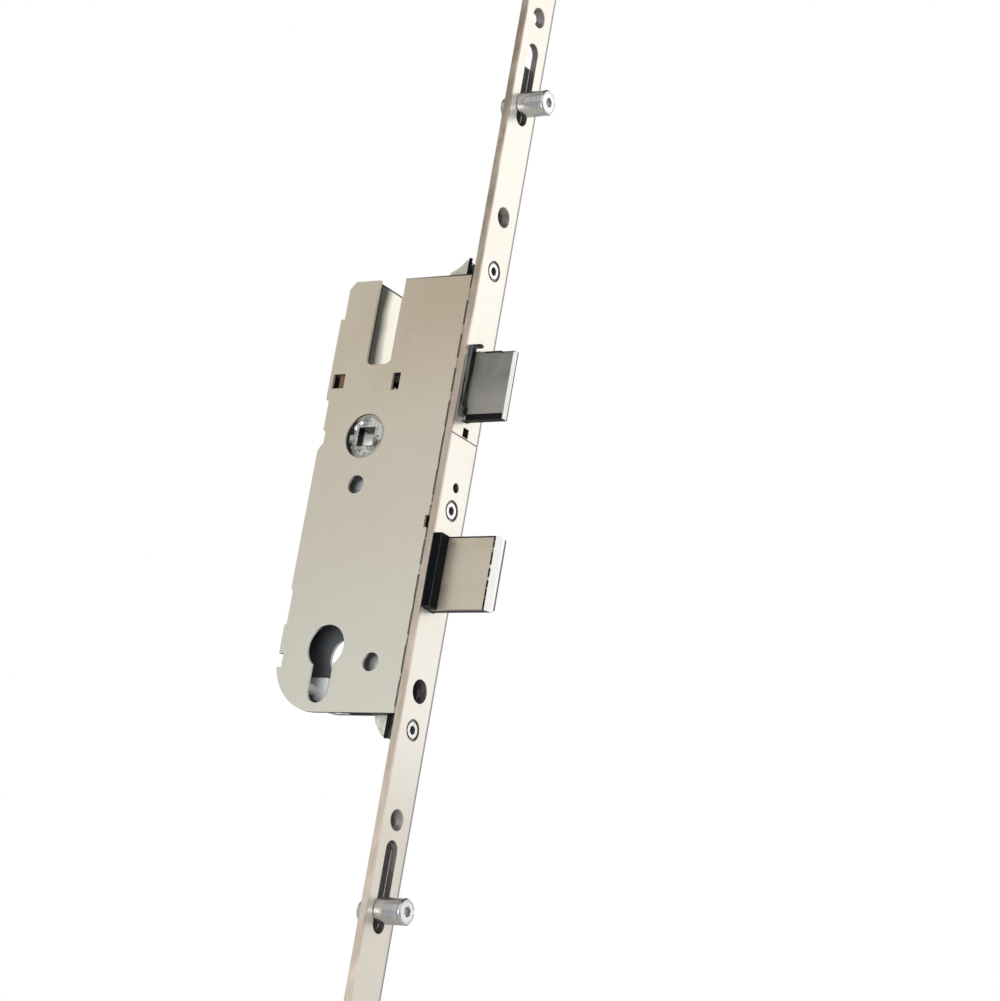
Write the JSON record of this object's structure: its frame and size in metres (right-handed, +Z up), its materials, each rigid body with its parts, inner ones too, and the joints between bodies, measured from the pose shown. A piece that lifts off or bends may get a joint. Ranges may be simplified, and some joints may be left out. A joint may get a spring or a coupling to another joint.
{
  "type": "multipoint door lock",
  "caption": "Multipoint door lock with a long faceplate, latch, thrown deadbolt, cylinder cut-out, and roller cams that a geared drive slide lifts.",
  "frame": {"origin": "Follower axis, where the spindle passes, on the middle plane of the lock case", "axes": "+X out of the faceplate's front, +Z up along the faceplate, the cover sheet faces -Y"},
  "size_m": [0.0975, 0.02, 0.46],
  "materials": {
    "plate_steel": "brushed stainless faceplate",
    "case_steel": "warm grey metallic coating",
    "plated_steel": "zinc plated",
    "zinc_casting": "die cast",
    "black_plastic": "moulded acetal",
    "screw_steel": "bright plated",
    "spring_steel": "bare spring wire",
    "rod_steel": "zinc plated",
    "roller_steel": "polished",
    "latch_metal": "sintered, fine grain",
    "deadbolt_metal": "satin nickel"
  },
  "bodies": {
    "lock_case": {"faceplate": "plate_steel", "case_cover": "case_steel", "case_tray": "case_steel", "slot_liner": "case_steel", "top_bracket": "plated_steel", "bottom_bracket": "plated_steel", "middle_screw_block": "zinc_casting", "upper_rod_guide": "black_plastic", "lower_rod_guide": "black_plastic", "latch_guide": "black_plastic", "deadbolt_guide": "black_plastic", "case_screws": "screw_steel", "case_pillars": "plated_steel", "slide_guide_pins": "plated_steel", "upper_fixing_bush": "plated_steel", "lower_fixing_bush": "plated_steel", "follower_bushes": "black_plastic", "follower_spring": "spring_steel", "follower_spring_seat": "zinc_casting", "latch_spring": "spring_steel", "latch_spring_seat": "zinc_casting", "throw_lever_pivot": "plated_steel", "deadbolt_leaf_spring": "spring_steel"},
    "follower_body": {"follower": "zinc_casting"},
    "drive_body": {"drive_slide": "plated_steel", "upper_rod": "rod_steel", "lower_rod": "rod_steel"},
    "upper_cam_body": {"upper_cam_stem": "roller_steel"},
    "upper_roller_body": {"upper_roller": "roller_steel"},
    "lower_cam_body": {"lower_cam_stem": "roller_steel"},
    "lower_roller_body": {"lower_roller": "roller_steel"},
    "drawbar_body": {"latch_drawbar": "plated_steel"},
    "latch_body": {"latch_bolt": "latch_metal"},
    "deadbolt_body": {"deadbolt": "deadbolt_metal"},
    "lever_body": {"throw_lever": "zinc_casting"}
  },
  "joints": [
    {"name": "follower_turn", "type": "hinge", "parent": "lock_case", "child": "follower_body", "pos_m": [0, 0, 0], "axis": [0, 1, 0], "range_deg": [-50, 0], "deforming": ["follower_spring"]},
    {"name": "drive_lift", "type": "slide", "parent": "lock_case", "child": "drive_body", "axis": [0, 0, 1], "range_m": [0, 0.01745], "stiffness_N_per_m": 1000, "springref_m": -0.012},
    {"name": "upper_cam_adjust", "type": "hinge", "parent": "drive_body", "child": "upper_cam_body", "pos_m": [0.04, 0, 0.15], "axis": [1, 0, 0], "continuous": true},
    {"name": "upper_roller_spin", "type": "hinge", "parent": "upper_cam_body", "child": "upper_roller_body", "pos_m": [0.05, 0, 0.151], "axis": [1, 0, 0], "continuous": true},
    {"name": "lower_cam_adjust", "type": "hinge", "parent": "drive_body", "child": "lower_cam_body", "pos_m": [0.04, 0, -0.2], "axis": [1, 0, 0], "continuous": true},
    {"name": "lower_roller_spin", "type": "hinge", "parent": "lower_cam_body", "child": "lower_roller_body", "pos_m": [0.05, 0, -0.199], "axis": [1, 0, 0], "continuous": true},
    {"name": "drawbar_pull", "type": "slide", "parent": "lock_case", "child": "drawbar_body", "axis": [1, 0, 0], "range_m": [-0.0185, 0]},
    {"name": "latch_push", "type": "slide", "parent": "drawbar_body", "child": "latch_body", "axis": [1, 0, 0], "range_m": [-0.0185, 0], "stiffness_N_per_m": 150, "springref_m": 0.015, "deforming": ["latch_spring"]},
    {"name": "deadbolt_throw", "type": "slide", "parent": "lock_case", "child": "deadbolt_body", "axis": [1, 0, 0], "range_m": [-0.0285, 0]},
    {"name": "throw_lever_turn", "type": "hinge", "parent": "lock_case", "child": "lever_body", "pos_m": [0.003, 0, -0.03228], "axis": [0, 1, 0], "range_deg": [0, 50]}
  ],
  "couplings": [
    {"joint": "follower_turn", "follows": "drive_lift", "rad_per_m": -50},
    {"joint": "drawbar_pull", "follows": "drive_lift", "ratio": -1.06},
    {"joint": "throw_lever_turn", "follows": "deadbolt_throw", "rad_per_m": -30.62}
  ]
}
